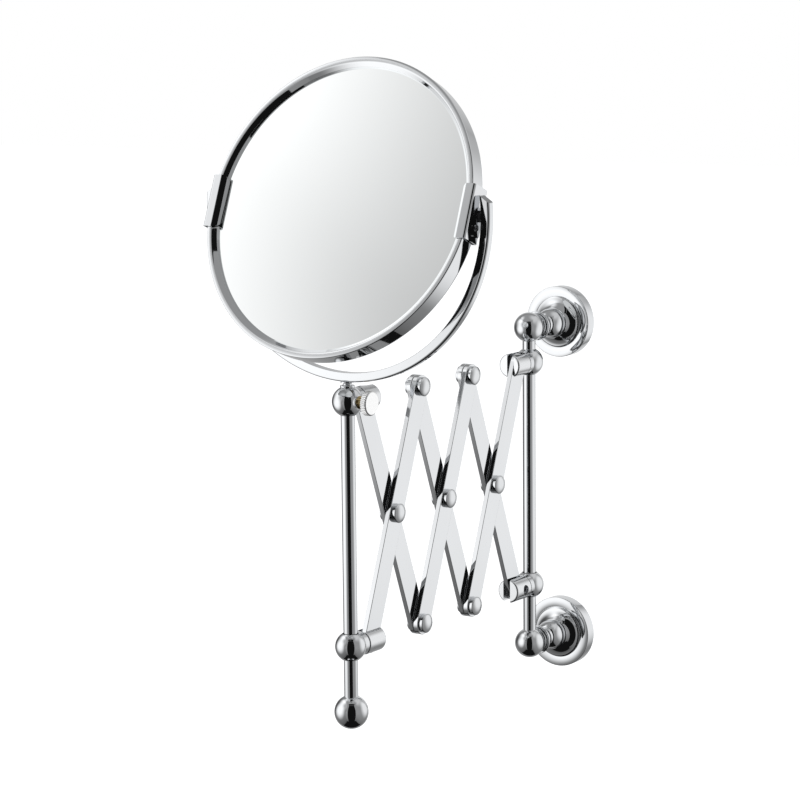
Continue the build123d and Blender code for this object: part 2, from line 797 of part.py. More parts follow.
def magnifying_glass():
    """The concave glass at the back: it looks to the back and dishes towards the front."""
    back = case_wall - case_back
    front = back + magnifier_thickness
    back_arc = crown_arc(glass_radius, back, back + magnifier_sag)
    front_arc = crown_arc(glass_radius, front, front + magnifier_sag)
    outer_edge = Line((glass_radius, back), (glass_radius, front))
    axis_line = Line((0, back + magnifier_sag), (0, front + magnifier_sag))
    return head_place * turned(back_arc + outer_edge + front_arc + axis_line)


def glass_spacer():
    """The ring between the edges of the two glasses."""
    low = case_wall - case_back + magnifier_thickness + seat_gap
    high = glass_front - glass_thickness
    inner = glass_radius - spacer_width
    rise = magnifier_sag * (1 - (inner / glass_radius) ** 2)
    outline = Polyline(
        (glass_radius, low),
        (glass_radius, high),
        (inner, high),
        (inner, low + rise),
        (glass_radius, low),
    )
    return head_place * turned(outline)


def side_clip(side):
    """The sheet clip that grips rim and case at one pivot, with a sloping foot over the glass."""
    front = rim_front + side_gap
    back = -case_back - side_gap
    foot_height = glass_front + clip_foot_gap
    foot_tip = web_outer - clip_foot_reach
    foot_top = foot_tip + clip_foot_slope
    slope = math.atan2(front + clip_sheet - foot_height, clip_foot_slope)
    foot_width = clip_sheet / math.sin(slope)
    inner_top = foot_tip + foot_width + (front - foot_height) / math.tan(slope)
    section = Polyline(
        (web_outer, back - clip_sheet),
        (web_outer, front + clip_sheet),
        (foot_top, front + clip_sheet),
        (foot_tip, foot_height),
        (foot_tip + foot_width, foot_height),
        (inner_top, front),
        (web_inner, front),
        (web_inner, back),
        (web_outer - clip_back_reach, back),
        (web_outer - clip_back_reach, back - clip_sheet),
        (web_outer, back - clip_sheet),
    )
    bar = extrude(Plane.XZ * make_face(section), clip_length / 2, both=True)
    bends = [(web_outer, back - clip_sheet), (web_outer, front + clip_sheet), (foot_top, front + clip_sheet)]
    for bend_x, bend_z in bends:
        bend = Vector(bend_x, 0, bend_z)
        corner = bar.edges().filter_by(Axis.Y).sort_by(lambda edge: (edge.center() - bend).length)[0]
        bar = fillet(corner, clip_bend)
    frame_width = web_outer - foot_tip
    frame = Pos(web_outer - frame_width / 2, 0, 0) * Box(frame_width, clip_length, 4 * rim_front)
    clip = bar & fillet(frame.edges().filter_by(Axis.Z), clip_corner)
    clip = clip if side > 0 else mirror(clip, Plane.YZ)
    clip -= pivot_hole(side, pivot_pin_radius + seat_gap)
    return head_place * (clip - bracket_screw_hole(side))


def pivot_bracket(side):
    """The small plate on a clip that the pivot pin turns in."""
    height = bracket_above + bracket_below
    middle = (web_outer + bracket_sheet / 2, (bracket_above - bracket_below) / 2, bracket_shift)
    plate = Pos(*middle) * Box(bracket_sheet, height, bracket_width)
    plate = fillet(plate.edges().filter_by(Axis.X), bracket_width / 4)
    plate = plate if side > 0 else mirror(plate, Plane.YZ)
    plate -= pivot_hole(side, pivot_pin_radius + running_fit)
    return head_place * (plate - bracket_screw_hole(side))


def bracket_screw(side):
    """The screw that holds a bracket and its clip on the case."""
    reach = math.sqrt(case_inner**2 - bracket_screw_drop**2)
    axis = (0, -bracket_screw_drop, bracket_screw_shift)
    shank = rod(axis, (side, 0, 0), bracket_screw_radius, reach, bracket_outer)
    head = rod(
        axis, (side, 0, 0), bracket_screw_head, bracket_outer, bracket_outer + bracket_screw_head_height
    )
    return head_place * (shank + head)


def pivot_washer(side):
    """The nylon washer between a bracket and the yoke."""
    end = math.sqrt(yoke_inner_radius**2 - pivot_washer_radius**2) - side_gap
    washer = tube(
        head_origin,
        (side, 0, 0),
        pivot_washer_radius,
        pivot_pin_radius + running_fit,
        bracket_outer,
        end,
    )
    return head_place * washer


# ------------------------------------------------------------------ the whole assembly
parts = {
    "wall_plate_lower": wall_plate(0),
    "wall_plate_upper": wall_plate(post_spacing),
    "rose_lower": rose(0),
    "rose_upper": rose(post_spacing),
    "rose_grub_screws": [rose_screw(0), rose_screw(post_spacing)],
    "post_lower": post(0, 1),
    "post_upper": post(post_spacing, -1),
    "rail_bushes": [rail_bush(0, 1), rail_bush(post_spacing, -1)],
    "wall_rail": wall_rail(),
    "upper_wall_clevis": upper_wall_clevis(),
    "clevis_set_screw": clevis_set_screw(),
    "upper_wall_pin": clevis_pin(rail_standoff, upper_level, room_ward, -1),
    "upper_wall_spacer": clevis_spacer(rail_standoff, upper_level, room_ward, 1),
    "lower_wall_clevis": lower_wall_clevis(),
    "lower_wall_bush": slider_bush(rail_standoff, lower_level),
    "lower_wall_pin": clevis_pin(rail_standoff, lower_level, room_ward, 1),
    "lower_wall_spacer": clevis_spacer(rail_standoff, lower_level, room_ward, -1),
    "upper_rod_clevis": upper_rod_clevis(),
    "upper_rod_pin": clevis_pin(rod_depth, upper_level, wall_ward, 1),
    "upper_rod_spacer": clevis_spacer(rod_depth, upper_level, wall_ward, -1),
    "lower_rod_clevis": lower_rod_clevis(),
    "lower_rod_bush": slider_bush(rod_depth, lower_level),
    "lower_rod_pin": clevis_pin(rod_depth, lower_level, wall_ward, -1),
    "lower_rod_spacer": clevis_spacer(rod_depth, lower_level, wall_ward, 1),
    "clamp_pad": clamp_pad(),
    "clamp_screw": clamp_screw(),
    "clamp_knob": clamp_knob(),
    "mirror_rod": mirror_rod(),
    "finial": finial(),
    "yoke_stem": yoke_stem(),
    "yoke": yoke(),
    "pivot_pins": [pivot_pin(side) for side in (-1, 1)],
    "front_rim": front_rim(),
    "mirror_case": mirror_case(),
    "plain_glass": plain_glass(),
    "magnifying_glass": magnifying_glass(),
    "glass_spacer": glass_spacer(),
    "left_clip": side_clip(-1),
    "right_clip": side_clip(1),
    "pivot_brackets": [pivot_bracket(side) for side in (-1, 1)],
    "bracket_screws": [bracket_screw(side) for side in (-1, 1)],
    "pivot_washers": [pivot_washer(side) for side in (-1, 1)],
}

# A near link grips the rivets it carries, and turns on the clevis pins at the arm's ends.
near_grip = {1: (True, True, False), 2: (True, True, True), 3: (False, True, True)}
for cell in (1, 2, 3):
    parts[f"near_link_{cell}"] = link(cell, 1, near_grip[cell])
    parts[f"far_link_{cell}"] = link(cell, -1, (False, False, False))
    parts[f"rivets_{cell}"] = [rivet(*place) for place in pivots_of(cell)]
    parts[f"rivet_caps_{cell}"] = [rivet_cap(*place) for place in pivots_of(cell)]
    parts[f"rivet_washers_{cell}"] = [rivet_washer(*place) for place in pivots_of(cell)]

os.makedirs("parts", exist_ok=True)
for name, piece in parts.items():
    shape = Compound(children=piece) if isinstance(piece, list) else piece
    export_step(shape, f"parts/{name}.step")
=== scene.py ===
import json
import math
import bmesh
import bpy
import numpy as np
from mathutils import Matrix, Vector

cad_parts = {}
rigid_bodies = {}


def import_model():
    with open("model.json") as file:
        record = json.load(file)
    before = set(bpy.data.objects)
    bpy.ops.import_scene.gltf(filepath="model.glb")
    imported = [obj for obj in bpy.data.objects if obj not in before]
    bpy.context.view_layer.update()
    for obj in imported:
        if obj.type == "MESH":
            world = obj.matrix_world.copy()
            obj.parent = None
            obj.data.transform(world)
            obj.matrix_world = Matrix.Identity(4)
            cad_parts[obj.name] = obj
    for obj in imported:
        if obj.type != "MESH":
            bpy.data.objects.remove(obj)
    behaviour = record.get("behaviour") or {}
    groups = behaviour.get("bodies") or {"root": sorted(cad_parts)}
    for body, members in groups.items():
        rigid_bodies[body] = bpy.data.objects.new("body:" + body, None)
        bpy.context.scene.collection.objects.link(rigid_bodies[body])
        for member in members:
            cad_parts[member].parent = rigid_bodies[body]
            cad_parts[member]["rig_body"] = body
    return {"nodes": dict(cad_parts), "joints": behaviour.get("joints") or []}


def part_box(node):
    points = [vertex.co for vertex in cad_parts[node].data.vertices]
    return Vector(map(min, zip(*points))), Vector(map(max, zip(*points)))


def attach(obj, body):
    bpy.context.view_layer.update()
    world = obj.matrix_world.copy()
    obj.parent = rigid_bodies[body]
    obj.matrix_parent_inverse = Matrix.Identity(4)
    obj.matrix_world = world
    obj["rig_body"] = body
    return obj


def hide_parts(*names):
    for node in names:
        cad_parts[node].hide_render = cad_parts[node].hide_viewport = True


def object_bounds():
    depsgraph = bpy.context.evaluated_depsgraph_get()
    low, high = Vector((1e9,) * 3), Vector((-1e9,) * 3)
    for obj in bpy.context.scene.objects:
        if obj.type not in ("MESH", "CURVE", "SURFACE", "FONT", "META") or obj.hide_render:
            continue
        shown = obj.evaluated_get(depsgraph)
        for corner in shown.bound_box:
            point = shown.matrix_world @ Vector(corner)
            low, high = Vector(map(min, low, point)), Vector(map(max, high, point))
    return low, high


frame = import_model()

# The frame is in metres. Outlines are written in millimetres, as (radius, height) points.
cad_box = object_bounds()
mm = 0.001
joints = {joint["name"]: joint for joint in frame["joints"]}


# ---------------------------------------------------------------- camera
# A long lens a little above the arm, turned towards the side of the rivet heads, so that the
# mirror is seen from its left front and the roses from their right.
camera_turn = math.radians(34.0)
camera_rise = math.radians(8.33)
camera_roll = math.radians(-0.56)
camera_data = bpy.data.cameras.new("camera")
camera_data.sensor_width = 36.0
camera_data.lens = 122.56
camera_data.clip_start = 0.05
camera_data.clip_end = 60.0
camera = bpy.data.objects.new("camera", camera_data)
bpy.context.scene.collection.objects.link(camera)
camera.location = Vector((1080.4, -1831.9, 497.0)) * mm
camera.rotation_euler = (
    Matrix.Rotation(camera_turn, 4, "Z")
    @ Matrix.Rotation(math.pi / 2 - camera_rise, 4, "X")
    @ Matrix.Rotation(camera_roll, 4, "Z")
).to_euler()
bpy.context.scene.camera = camera


# ---------------------------------------------------------------- studio
# A light tent: two side walls that glow round a soft lamp, a back, a roof and a front with a
# tall dark opening that reaches into the roof. Only polished metal and glass see it. The floor
# is plain and pale.
def flat_sheet(name, corners):
    """One flat four-cornered sheet through the given corners."""
    mesh = bpy.data.meshes.new(name)
    mesh.from_pydata([tuple(corner) for corner in corners], [], [(0, 1, 2, 3)])
    sheet = bpy.data.objects.new(name, mesh)
    bpy.context.scene.collection.objects.link(sheet)
    return sheet


tent_centre = Vector((0.0, -0.27, 0.13))
tent_back = Vector((math.sin(camera_turn), -math.cos(camera_turn), 0.0))
tent_right = Vector((math.cos(camera_turn), math.sin(camera_turn), 0.0))


def tent_point(right, height, front):
    """A point of the tent: the centre plus so much to the right, up and to the front."""
    return tent_centre + tent_right * right + Vector((0, 0, height)) + tent_back * front


def tent_cloth(name, base, glows, shade_foot=0.35):
    """A glowing cloth: a base light plus soft glows, each falling smoothly from its own strength
    to nothing between two distances from its middle. All of it dims towards the floor."""
    cloth = bpy.data.materials.new(name)
    cloth.use_nodes = True
    nodes, links = cloth.node_tree.nodes, cloth.node_tree.links
    nodes.clear()
    place = nodes.new("ShaderNodeTexCoord")
    light_sum = None
    for middle, strength, inner, outer, squash in glows:
        shift = nodes.new("ShaderNodeVectorMath")
        shift.operation = "SUBTRACT"
        shift.inputs[1].default_value = middle
        stretch = nodes.new("ShaderNodeVectorMath")
        stretch.operation = "MULTIPLY"
        stretch.inputs[1].default_value = (1, 1, squash)
        far = nodes.new("ShaderNodeVectorMath")
        far.operation = "LENGTH"
        fall = nodes.new("ShaderNodeMapRange")
        fall.interpolation_type = "SMOOTHSTEP"
        fall.inputs["From Min"].default_value = inner
        fall.inputs["From Max"].default_value = outer
        fall.inputs["To Min"].default_value = strength
        fall.inputs["To Max"].default_value = 0.0
        total = nodes.new("ShaderNodeMath")
        total.operation = "ADD"
        total.inputs[1].default_value = base
        links.new(place.outputs["Object"], shift.inputs[0])
        links.new(shift.outputs[0], stretch.inputs[0])
        links.new(stretch.outputs[0], far.inputs[0])
        links.new(far.outputs["Value"], fall.inputs["Value"])
        links.new(fall.outputs["Result"], total.inputs[0])
        if light_sum:
            links.new(light_sum.outputs[0], total.inputs[1])
        light_sum = total
    height = nodes.new("ShaderNodeSeparateXYZ")
    dim = nodes.new("ShaderNodeMapRange")
    dim.inputs["From Min"].default_value = tent_centre.z + tent_foot
    dim.inputs["From Max"].default_value = tent_centre.z - 0.15
    dim.inputs["To Min"].default_value = shade_foot
    dim.inputs["To Max"].default_value = 1.0
    dimmed = nodes.new("ShaderNodeMath")
    dimmed.operation = "MULTIPLY"
    light = nodes.new("ShaderNodeEmission")
    end = nodes.new("ShaderNodeOutputMaterial")
    links.new(place.outputs["Object"], height.inputs[0])
    links.new(height.outputs["Z"], dim.inputs["Value"])
    links.new(light_sum.outputs[0], dimmed.inputs[0])
    links.new(dim.outputs["Result"], dimmed.inputs[1])
    links.new(dimmed.outputs[0], light.inputs["Strength"])
    links.new(light.outputs[0], end.inputs["Surface"])
    return cloth


def tent_wall(name, corners, cloth):
    """A wall of the tent, seen by polished surfaces only."""
    wall = flat_sheet(name, corners)
    wall.data.materials.append(cloth)
    wall.visible_camera = False
    wall.visible_diffuse = False
    wall.visible_shadow = False
    return wall


half_width, tent_front, tent_rear = 0.62, 0.80, -0.75
tent_top, tent_foot, roof_front = 0.98, -1.30, 0.50
tent_wall("tent_left", [
    tent_point(-half_width, tent_foot, tent_front), tent_point(-half_width, tent_foot, tent_rear),
    tent_point(-half_width, tent_top, tent_rear), tent_point(-half_width, tent_top, tent_front),
], tent_cloth("left_cloth", 0.30, [
    (tent_point(-half_width, -0.05, 0.06), 1.10, 0.12, 0.64, 1.0),
    (tent_point(-half_width, 0.68, -0.23), 1.15, 0.03, 0.62, 1.0),
    (tent_point(-half_width, 0.60, 0.30), 0.25, 0.30, 0.70, 1.0),
    (tent_point(-half_width, -0.05, tent_rear), -0.20, 0.10, 0.55, 1.0),
]))
tent_wall("tent_right", [
    tent_point(half_width, tent_foot, tent_rear), tent_point(half_width, tent_foot, tent_front),
    tent_point(half_width, tent_top, tent_front), tent_point(half_width, tent_top, tent_rear),
], tent_cloth("right_cloth", 0.38, [
    (tent_point(half_width, -0.03, -0.24), 0.72, 0.18, 0.58, 1.0),
    (tent_point(half_width, 0.97, -0.20), 0.40, 0.30, 0.90, 1.0),
]))
roof_cloth = tent_cloth("roof_cloth", 0.38, [
    (tent_point(-half_width, tent_top, -0.40), 0.75, 0.10, 0.50, 1.0),
    (tent_point(half_width, tent_top, -0.20), 0.40, 0.10, 0.60, 1.0),
])
opening_left, opening_right, opening_top = -0.38, 0.42, 0.95
for roof_part, roof_left, roof_right, roof_back, roof_edge in (
    ("tent_roof", -half_width, half_width, tent_rear, roof_front),
    ("tent_roof_left", -half_width, opening_left, roof_front, tent_front),
    ("tent_roof_right", opening_right, half_width, roof_front, tent_front),
):
    tent_wall(roof_part, [
        tent_point(roof_left, tent_top, roof_edge), tent_point(roof_right, tent_top, roof_edge),
        tent_point(roof_right, tent_top, roof_back), tent_point(roof_left, tent_top, roof_back),
    ], roof_cloth)
tent_wall("tent_back", [
    tent_point(-half_width, tent_foot, tent_rear), tent_point(half_width, tent_foot, tent_rear),
    tent_point(half_width, tent_top, tent_rear), tent_point(-half_width, tent_top, tent_rear),
], tent_cloth("back_cloth", 0.30, [
    (tent_point(0.40, 0.05, tent_rear), 0.55, 0.20, 0.80, 1.0),
    (tent_point(-half_width, -0.05, tent_rear), -0.20, 0.10, 0.60, 1.0),
], shade_foot=1.0))
front_cloth = tent_cloth("front_cloth", 0.36, [
    (tent_point(-half_width, 0, tent_front), 0.12, 0.0, 0.2, 1.0),
])
tent_wall("tent_front_left", [
    tent_point(-half_width, tent_foot, tent_front), tent_point(opening_left, tent_foot, tent_front),
    tent_point(opening_left, tent_top, tent_front), tent_point(-half_width, tent_top, tent_front),
], front_cloth)
tent_wall("tent_front_right", [
    tent_point(opening_right, tent_foot, tent_front), tent_point(half_width, tent_foot, tent_front),
    tent_point(half_width, tent_top, tent_front), tent_point(opening_right, tent_top, tent_front),
], front_cloth)
tent_wall("tent_front_top", [
    tent_point(opening_left, opening_top, tent_front),
    tent_point(opening_right, opening_top, tent_front),
    tent_point(opening_right, tent_top, tent_front),
    tent_point(opening_left, tent_top, tent_front),
], front_cloth)

floor_height = cad_box[0].z - 0.55
floor_reach = 14.0
floor = flat_sheet("floor", [
    (side * floor_reach, depth * floor_reach, floor_height)
    for side, depth in ((-1, -1), (1, -1), (1, 1), (-1, 1))
])
floor_paint = bpy.data.materials.new("floor_paint")
floor_paint.use_nodes = True
floor_nodes, floor_links = floor_paint.node_tree.nodes, floor_paint.node_tree.links
floor_shader = floor_nodes["Principled BSDF"]
floor_shader.inputs["Base Color"].default_value = (0.86, 0.86, 0.86, 1)
floor_shader.inputs["Roughness"].default_value = 0.9
floor_shader.inputs["Emission Color"].default_value = (1, 1, 1, 1)
seen_directly = floor_nodes.new("ShaderNodeLightPath")
lift = floor_nodes.new("ShaderNodeMath")
lift.operation = "MULTIPLY"
lift.inputs[1].default_value = 0.55
floor_links.new(seen_directly.outputs["Is Camera Ray"], lift.inputs[0])
floor_links.new(lift.outputs[0], floor_shader.inputs["Emission Strength"])
floor.data.materials.append(floor_paint)
floor.visible_glossy = False

world = bpy.data.worlds.new("studio")
bpy.context.scene.world = world
world.use_nodes = True
world_nodes, world_links = world.node_tree.nodes, world.node_tree.links
world_nodes.clear()
ray = world_nodes.new("ShaderNodeLightPath")
white_wall = world_nodes.new("ShaderNodeBackground")
white_wall.inputs["Color"].default_value = (1, 1, 1, 1)
white_wall.inputs["Strength"].default_value = 1.0
soft_fill = world_nodes.new("ShaderNodeBackground")
soft_fill.inputs["Color"].default_value = (0.97, 0.98, 1.0, 1)
soft_fill.inputs["Strength"].default_value = 0.75
dark_room = world_nodes.new("ShaderNodeBackground")
dark_room.inputs["Color"].default_value = (1, 1, 1, 1)
dark_room.inputs["Strength"].default_value = 0.008
metal_view = world_nodes.new("ShaderNodeMixShader")
direct_view = world_nodes.new("ShaderNodeMixShader")
world_end = world_nodes.new("ShaderNodeOutputWorld")
world_links.new(ray.outputs["Is Glossy Ray"], metal_view.inputs["Fac"])
world_links.new(soft_fill.outputs[0], metal_view.inputs[1])
world_links.new(dark_room.outputs[0], metal_view.inputs[2])
world_links.new(ray.outputs["Is Camera Ray"], direct_view.inputs["Fac"])
world_links.new(metal_view.outputs[0], direct_view.inputs[1])
world_links.new(white_wall.outputs[0], direct_view.inputs[2])
world_links.new(direct_view.outputs[0], world_end.inputs["Surface"])

for lamp_name, lamp_side, lamp_power in (("lamp_left", -1.0, 7.0), ("lamp_right", 1.0, 6.0)):
    lamp_data = bpy.data.lights.new(lamp_name, "AREA")
    lamp_data.shape = "DISK"
    lamp_data.size = 1.1
    lamp_data.energy = lamp_power
    lamp = bpy.data.objects.new(lamp_name, lamp_data)
    bpy.context.scene.collection.objects.link(lamp)
    lamp.location = tent_point(lamp_side * 1.5, 0.9, 1.0)
    lamp.rotation_euler = (tent_centre - lamp.location).to_track_quat("-Z", "Y").to_euler()
    lamp.visible_glossy = False

bpy.context.scene.view_settings.view_transform = "Standard"


# ---------------------------------------------------------------- roses and wall plates
# A rose is a deep-drawn brass cover, polished and chromed: a flat ring, a sharp ridge and a
# cove up to the post. It hides a plated steel plate on the wall, and a grub screw locks it.
def softened(corners, steps=5):
    """A run of (radius, height, rounding) corners. A rounding replaces its corner by the arc that
    touches both runs: a point of it is the centre plus the two end spokes, weighted by sines. One
    more point a little before the arc and one after it keep the flats' shading flat."""
    run_on = 0.12
    corners = [tuple(corner) + (0,) * (3 - len(corner)) for corner in corners]
    points = []
    for index, (x, y, radius) in enumerate(corners):
        here = np.array((x, y), float)
        if not radius:
            points.append(here)
            continue
        back = np.array(corners[index - 1][:2]) - here
        ahead = np.array(corners[(index + 1) % len(corners)][:2]) - here
        back /= np.linalg.norm(back)
        ahead /= np.linalg.norm(ahead)
        half = math.acos(np.clip(back @ ahead, -1, 1)) / 2
        centre = here + (back + ahead) / np.linalg.norm(back + ahead) * radius / math.sin(half)
        start = here + back * radius / math.tan(half)
        end = here + ahead * radius / math.tan(half)
        sweep = math.pi - 2 * half
        part = np.linspace(0, 1, steps + 1)[:, None]
        spokes = (
            np.sin((1 - part) * sweep) * (start - centre) + np.sin(part * sweep) * (end - centre)
        )
        points.extend([start + run_on * radius * back, *(centre + spokes / math.sin(sweep))])
        points.append(end + run_on * radius * ahead)
    return np.array(points)


def bent(start, middle, end, steps=12):
    """The circle's arc through three points: equal steps of angle round the point that lies at
    the same distance from all three."""
    a, b, c = (complex(*point) for point in (start, middle, end))
    w = (c - a) / (b - a)
    centre = (b - a) * (w - abs(w) ** 2) / (2j * w.imag) + a
    first = np.angle(a - centre)
    through = (np.angle(b - centre) - first) % (2 * math.pi)
    sweep = (np.angle(c - centre) - first) % (2 * math.pi)
    if through > sweep:
        sweep -= 2 * math.pi
    points = centre + abs(a - centre) * np.exp(1j * (first + sweep * np.linspace(0, 1, steps + 1)))
    return np.stack([points.real, points.imag], 1)


def turned(profile, origin, axis, steps=144, dent=None):
    """A grid of points turned round an axis. Point (r, h) of the profile at turn t lies at the
    origin plus h along the axis plus r times (cos t across + sin t beside). dent takes the
    radii, heights and turns and returns the changed radii."""
    axis = np.array(axis, float) / np.linalg.norm(axis)
    across = np.cross(axis, (1, 0, 0) if abs(axis[0]) < 0.9 else (0, 0, 1))
    across /= np.linalg.norm(across)
    beside = np.cross(axis, across)
    turn = np.arange(steps) * 2 * math.pi / steps
    radius, height = np.asarray(profile, float).T[:, :, None]
    radius = radius + 0 * turn
    if dent:
        radius = dent(radius, height, turn)
    spokes = np.cos(turn)[:, None] * across + np.sin(turn)[:, None] * beside
    grid = radius[..., None] * spokes + height[..., None] * axis
    return grid * mm + np.array(origin, float)


def piece(name, shells, finish, body, stands_for=(), sharp=30.0):
    """One object made of grids of points. Four neighbours of a grid make a face, each row closes
    on itself, and a row whose points all meet makes a pole."""
    points, faces, count = [], [], 0
    for grid in shells:
        rows, columns = grid.shape[:2]
        row, column = np.meshgrid(np.arange(rows - 1), np.arange(columns), indexing="ij")
        here, below = row * columns, (row + 1) * columns
        beside = (column + 1) % columns
        quads = [here + column, here + beside, below + beside, below + column]
        faces.append(np.stack(quads, -1).reshape(-1, 4) + count)
        points.append(grid.reshape(-1, 3))
        count += rows * columns
    points, faces = np.concatenate(points), np.concatenate(faces)
    mesh = bpy.data.meshes.new(name)
    mesh.vertices.add(len(points))
    mesh.vertices.foreach_set("co", points.astype(np.float32).ravel())
    mesh.loops.add(faces.size)
    mesh.loops.foreach_set("vertex_index", faces.astype(np.int32).ravel())
    mesh.polygons.add(len(faces))
    mesh.polygons.foreach_set("loop_start", np.arange(0, faces.size, 4, dtype=np.int32))
    mesh.update(calc_edges=True)
    joined = bmesh.new()
    joined.from_mesh(mesh)
    bmesh.ops.remove_doubles(joined, verts=joined.verts, dist=1e-7)
    bmesh.ops.dissolve_degenerate(joined, edges=joined.edges, dist=1e-8)
    bmesh.ops.recalc_face_normals(joined, faces=joined.faces)
    joined.to_mesh(mesh)
    joined.free()
    mesh.shade_smooth()
    mesh.set_sharp_from_angle(angle=math.radians(sharp))
    made = bpy.data.objects.new(name, mesh)
    bpy.context.scene.collection.objects.link(made)
    made.data.materials.append(finish)
    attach(made, body)
    if stands_for:
        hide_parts(*stands_for)
    return made


def metal(
    name, colour, roughness, haze=0.25, haze_size=90.0, relief=0.0, relief_size=2500.0,
    stretch=(1, 1, 1),
):
    """Bare or plated metal. Slow noise shifts its roughness and shade, as wiping does; fine
    noise lifts the surface a little, as polishing and casting leave it."""
    paint = bpy.data.materials.new(name)
    paint.use_nodes = True
    nodes, links = paint.node_tree.nodes, paint.node_tree.links
    shader = nodes["Principled BSDF"]
    shader.inputs["Metallic"].default_value = 1.0
    place = nodes.new("ShaderNodeTexCoord")
    mapping = nodes.new("ShaderNodeMapping")
    mapping.inputs["Scale"].default_value = stretch
    links.new(place.outputs["Object"], mapping.inputs["Vector"])
    slow = nodes.new("ShaderNodeTexNoise")
    slow.inputs["Scale"].default_value = haze_size
    slow.inputs["Detail"].default_value = 4.0
    links.new(mapping.outputs["Vector"], slow.inputs["Vector"])
    rough = nodes.new("ShaderNodeMapRange")
    rough.inputs["From Min"].default_value = 0.3
    rough.inputs["From Max"].default_value = 0.7
    rough.inputs["To Min"].default_value = roughness * (1 - haze)
    rough.inputs["To Max"].default_value = roughness * (1 + haze)
    links.new(slow.outputs["Fac"], rough.inputs["Value"])
    links.new(rough.outputs["Result"], shader.inputs["Roughness"])
    shade = nodes.new("ShaderNodeMix")
    shade.data_type = "RGBA"
    worn_shade = 0.965
    shade.inputs["A"].default_value = (*[part * worn_shade for part in colour], 1)
    shade.inputs["B"].default_value = (*colour, 1)
    links.new(slow.outputs["Fac"], shade.inputs["Factor"])
    links.new(shade.outputs["Result"], shader.inputs["Base Color"])
    if relief:
        fine = nodes.new("ShaderNodeTexNoise")
        fine.inputs["Scale"].default_value = relief_size
        fine.inputs["Detail"].default_value = 3.0
        links.new(mapping.outputs["Vector"], fine.inputs["Vector"])
        bump = nodes.new("ShaderNodeBump")
        bump.inputs["Strength"].default_value = 1.0
        bump.inputs["Distance"].default_value = relief
        links.new(fine.outputs["Fac"], bump.inputs["Height"])
        links.new(bump.outputs["Normal"], shader.inputs["Normal"])
    return paint


def dress(names, finish):
    """Gives CAD nodes whose shape is right their finish."""
    for name in names:
        slots = frame["nodes"][name].data.materials
        slots.clear()
        slots.append(finish)


polished_chrome = metal("polished_chrome", (0.70, 0.712, 0.726), 0.035, haze=0.35)
plated_steel = metal("plated_steel", (0.60, 0.61, 0.63), 0.28, haze=0.2, relief=4e-6)
rose_outline = np.concatenate([
    [(0, 15.0), (11.0, 15.0)],
    bent((11.6, 15.0), (15.0, 12.08), (19.2, 10.5), 18),
    softened([(19.2, 10.5), (19.9, 9.95, 0.3), (20.1, 9.0, 0.25), (21.0, 9.2)], 5)[1:-1],
    bent((20.3, 9.05), (23.6, 9.35), (27.2, 9.0), 14),
    bent((27.2, 9.0), (27.55, 8.85), (27.7, 8.5), 5)[1:],
    [(27.7, 0.0), (25.3, 0.0), (25.3, 6.6), (18.6, 6.6), (8.2, 12.6), (0, 12.6), (0, 15.0)],
])
into_room = (0, -1, 0)
rose_centres = {}
for rose_place in ("lower", "upper"):
    rose_low, rose_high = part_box(f"rose_{rose_place}")
    rose_centres[rose_place] = Vector((0, 0, (rose_low.z + rose_high.z) / 2))
    rose_cover = turned(rose_outline, rose_centres[rose_place], into_room, 180)
    piece(
        f"rose_cover_{rose_place}", [rose_cover], polished_chrome, "wall_fittings",
        [f"rose_{rose_place}"],
    )
dress(["wall_plate_lower", "wall_plate_upper", "rose_grub_screws"], plated_steel)


# ---------------------------------------------------------------- posts
# Each post is turned from brass bar in one piece, polished and chromed: a bead on the rose, a
# waist, two collars with grooves between them, and the ball that holds the rail's end.
post_outline = np.concatenate([
    [(0, 6.2), (4.0, 6.2)],
    softened([(4.0, 15.0), (11.7, 15.0, 0.12), (11.7, 15.8, 0.12), (11.1, 16.1)], 3),
    bent((11.1, 16.1), (11.3, 21.07), (7.8, 28.2), 20)[1:],
    [(7.2, 28.5)],
    bent((7.2, 28.5), (7.5, 35.1), (10.9, 39.51), 14)[1:],
    softened([
        (10.9, 39.51), (11.2, 39.81, 0.1), (11.2, 40.81, 0.15), (10.9, 41.11, 0.1),
        (8.5, 41.11), (8.5, 42.01),
        (9.4, 42.01, 0.1), (9.7, 42.31, 0.15), (9.7, 42.91, 0.15), (9.4, 43.21, 0.1), (8.5, 43.21),
    ], 3)[1:],
    bent((8.5, 44.106), (11.6, 52.0), (0, 63.6), 56),
])
for post_place in ("lower", "upper"):
    post = turned(post_outline, rose_centres[post_place], into_room)
    piece(
        f"turned_post_{post_place}", [post], polished_chrome, "wall_fittings",
        [f"post_{post_place}"],
    )
black_nylon = bpy.data.materials.new("black_nylon")
black_nylon.use_nodes = True
nylon_nodes, nylon_links = black_nylon.node_tree.nodes, black_nylon.node_tree.links
nylon_shader = nylon_nodes["Principled BSDF"]
nylon_shader.inputs["Roughness"].default_value = 0.42
nylon_shader.inputs["IOR"].default_value = 1.53
nylon_place = nylon_nodes.new("ShaderNodeTexCoord")
nylon_grain = nylon_nodes.new("ShaderNodeTexNoise")
nylon_grain.inputs["Scale"].default_value = 900.0
nylon_tone = nylon_nodes.new("ShaderNodeMix")
nylon_tone.data_type = "RGBA"
nylon_tone.inputs["A"].default_value = (0.010, 0.010, 0.011, 1)
nylon_tone.inputs["B"].default_value = (0.022, 0.022, 0.024, 1)
nylon_bump = nylon_nodes.new("ShaderNodeBump")
nylon_bump.inputs["Distance"].default_value = 1e-5
nylon_links.new(nylon_place.outputs["Object"], nylon_grain.inputs["Vector"])
nylon_links.new(nylon_grain.outputs["Fac"], nylon_tone.inputs["Factor"])
nylon_links.new(nylon_tone.outputs["Result"], nylon_shader.inputs["Base Color"])
nylon_links.new(nylon_grain.outputs["Fac"], nylon_bump.inputs["Height"])
